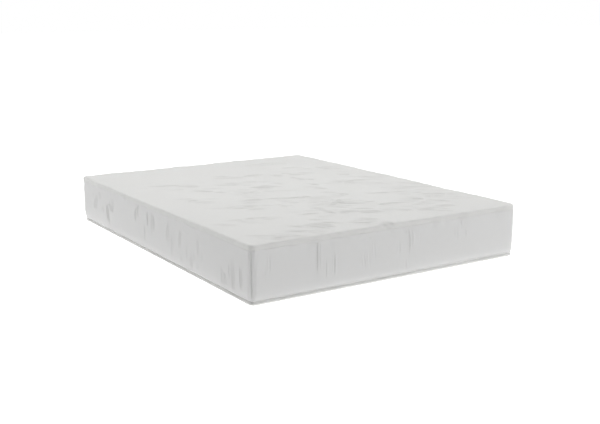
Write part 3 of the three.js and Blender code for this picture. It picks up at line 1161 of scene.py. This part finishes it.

# %% [markdown]
# Foam is cut cells: pits of all sizes under a matt surface. Two scales of Voronoi cells make the
# pits, and slow noise makes the faint clouds of colour that cast foam has. The pits are also
# painted in a darker shaded colour, as painted shade.

# %% Foams
def foam_material(name, colour, shaded, cell):
    material, tree, shader = start_material(name, 0.95, sheen=0.05, specular=0.15)
    place = place_in_space(tree)
    coarse = add(tree, "ShaderNodeTexVoronoi", {"Vector": place, "Scale": 1 / cell})
    fine = add(tree, "ShaderNodeTexVoronoi", {"Vector": place, "Scale": 2.7 / cell})
    small_pits = maths(tree, "MULTIPLY", fine.outputs["Distance"], 0.4)
    pits = maths(tree, "ADD", coarse.outputs["Distance"], small_pits)
    clouds = noise(tree, place, 6, 3)
    # Painted shade: the pits take the shaded colour, mixed with the foam's own clouds of tone.
    share = maths(tree, "MULTIPLY", maths(tree, "SUBTRACT", 1.1, pits), clouds)
    paint(tree, shader, share, colour, shaded)
    raise_surface(tree, shader, pits, cell * 0.4, 0.6)
    return material


cast_memory = foam_material("memory_foam_cells", (0.88, 0.82, 0.62), (0.76, 0.69, 0.47), 0.0016)
cast_transition = foam_material(
    "transition_foam_cells", (0.56, 0.70, 0.78), (0.42, 0.57, 0.66), 0.0022
)
cast_base = foam_material("base_foam_cells", (0.84, 0.83, 0.80), (0.70, 0.69, 0.66), 0.0026)

# %% [markdown]
# The coil is extruded nylon, smooth and white. The slider is plated zinc: bright, with fine
# scratches along it from the plating barrel. Elastic is rubber cores wrapped in yarn.

# %% Nylon, plated zinc and elastic
def nylon_material():
    material, tree, shader = start_material("coil_nylon", 0.42, specular=0.5)
    streaks = noise(tree, place_in_space(tree), 300, 2)
    paint(tree, shader, streaks, (0.92, 0.92, 0.91), (0.86, 0.86, 0.85))
    raise_surface(tree, shader, streaks, 0.1 * millimetre, 0.3)
    return material


def plated_zinc():
    material, tree, shader = start_material("plated_zinc", 0.3, metallic=1.0, specular=0.5)
    place = place_in_space(tree)
    stretched = add(tree, "ShaderNodeMapping", {"Vector": place, "Scale": (400, 2500, 2500)})
    scratches = noise(tree, stretched.outputs[0], 1, 4)
    paint(tree, shader, scratches, (0.66, 0.67, 0.69), (0.50, 0.51, 0.53))
    rough = maths(tree, "MULTIPLY_ADD", scratches, 0.3)
    rough.node.inputs[2].default_value = 0.2
    tree.links.new(rough, shader.inputs["Roughness"])
    raise_surface(tree, shader, scratches, 0.05 * millimetre, 0.4)
    return material


coil_nylon = nylon_material()
zinc = plated_zinc()
elastic_yarn = woven_material(
    "elastic_yarn", (0.76, 0.74, 0.69), (0.60, 0.58, 0.53), 0.0008, 0.0004
)[0]

# %% Dress every piece
def dress(piece, material):
    piece.data.materials.clear()
    piece.data.materials.append(material)


wardrobe = {
    top_knit: [top_panel],
    border_knit: borders,
    grip: [bottom_panel],
    webbing: tapes,
    coil_nylon: coils,
    zinc: [slider, pull_tab, *stops],
    cast_memory: [memory_foam],
    cast_transition: [transition_foam],
    cast_base: [base_foam],
    barrier: [sock],
    elastic_yarn: [elastic],
    satin: [label],
}
for material, pieces in wardrobe.items():
    for piece in pieces:
        dress(piece, material)
print(sum(len(pieces) for pieces in wardrobe.values()), "pieces dressed")

# %% [markdown]
# ## Studio
# The mattress stands on a plain white floor. One big soft light stands high behind it and one hangs
# over it, so that the creases of the top show. Two more stand at its far left and far right, which
# leaves the near corner the darkest part of the sides, and a weaker one fills it from the front.
# The floor glows a little round the mattress, like a light table, and lights the lower part of its
# sides. Far away it glows again, so that it runs into the white background without an edge.

# %% Floor
def studio_floor():
    half = 60
    corners = [(-half, -half, 0), (half, -half, 0), (half, half, 0), (-half, half, 0)]
    mesh = bpy.data.meshes.new("studio_floor")
    mesh.from_pydata(corners, [], [(0, 1, 2, 3)])
    floor = bpy.data.objects.new("studio_floor", mesh)
    scene.collection.objects.link(floor)
    return floor


def glow(tree, away, near, far, near_strength, far_strength):
    """How strongly the floor glows, between two distances from the mattress in metres."""
    node = add(
        tree, "ShaderNodeMapRange",
        {
            "Value": away, "From Min": near, "From Max": far,
            "To Min": near_strength, "To Max": far_strength,
        },
    )
    return node.outputs["Result"]


def floor_material():
    material, tree, shader = start_material("studio_white", 0.9, specular=0.0)
    shader.inputs["Base Color"].default_value = (0.9, 0.9, 0.9, 1)
    shader.inputs["Emission Color"].default_value = (1, 1, 1, 1)
    axes = split_axes(tree, place_in_space(tree))
    sideways = maths(tree, "SUBTRACT", maths(tree, "ABSOLUTE", axes["X"]), half_width)
    lengthways = maths(tree, "SUBTRACT", maths(tree, "ABSOLUTE", axes["Y"]), half_length)
    away = maths(tree, "MAXIMUM", sideways, lengthways)
    beside = glow(tree, away, 0.0, 0.28, 0.43, 0.0)
    around = glow(tree, away, 0.0, 0.9, 0.27, 0.0)
    horizon = glow(tree, away, 0.4, 3.0, 0.0, 1.1)
    total = maths(tree, "ADD", maths(tree, "ADD", beside, around), horizon)
    tree.links.new(total, shader.inputs["Emission Strength"])
    return material


floor = studio_floor()
dress(floor, floor_material())


# %% Lights
def soft_light(name, place, aim, size, watts):
    light = bpy.data.lights.new(name, "AREA")
    light.shape = "RECTANGLE"
    light.size, light.size_y = size
    light.energy = watts
    lamp = bpy.data.objects.new(name, light)
    lamp.location = place
    lamp.rotation_euler = (Vector(aim) - Vector(place)).to_track_quat("-Z", "Y").to_euler()
    scene.collection.objects.link(lamp)
    return lamp


soft_light("back_softbox", (3.0, 9.0, 6.5), (0, 0, 0.2), (8, 5), 600)
soft_light("overhead_softbox", (0, 0, 4.5), (0, 0, 0.2), (5, 5), 174)
soft_light("left_softbox", (-5.5, 4.5, 1.8), (-0.7, 0.8, 0.2), (3, 3), 156)
soft_light("right_softbox", (5.5, -3.5, 1.8), (0.75, -1.0, 0.2), (3, 3), 193)
soft_light("front_softbox", (-3.0, -6.5, 4.2), (-0.4, -0.8, 0.2), (4, 4), 120)

world = bpy.data.worlds.new("studio_air")
world.use_nodes = True
air = world.node_tree
dim = air.nodes["Background"]
dim.inputs["Color"].default_value = (1, 1, 1, 1)
dim.inputs["Strength"].default_value = 0.01
bright = add(air, "ShaderNodeBackground", {"Color": (1, 1, 1, 1), "Strength": 1.0})
seen = add(air, "ShaderNodeLightPath").outputs["Is Camera Ray"]
either = add(air, "ShaderNodeMixShader", {0: seen, 1: dim.outputs[0], 2: bright.outputs[0]})
air.links.new(either.outputs[0], air.nodes["World Output"].inputs["Surface"])
scene.world = world
scene.view_settings.view_transform = "Standard"

# %% Camera
camera_place = (-2.559, -4.243, 1.199)
camera_heading = 57.66
camera_tilt = -12.115
camera_roll = -0.38
camera_data = bpy.data.cameras.new("camera")
camera_data.sensor_width = 36
camera_data.lens = 55.34
camera = bpy.data.objects.new("camera", camera_data)
turn = Matrix.Rotation(math.radians(camera_heading - 90), 4, "Z")
tilt = Matrix.Rotation(math.radians(90 + camera_tilt), 4, "X")
roll = Matrix.Rotation(math.radians(camera_roll), 4, "Z")
camera.matrix_world = Matrix.Translation(camera_place) @ turn @ tilt @ roll
scene.collection.objects.link(camera)
scene.camera = camera
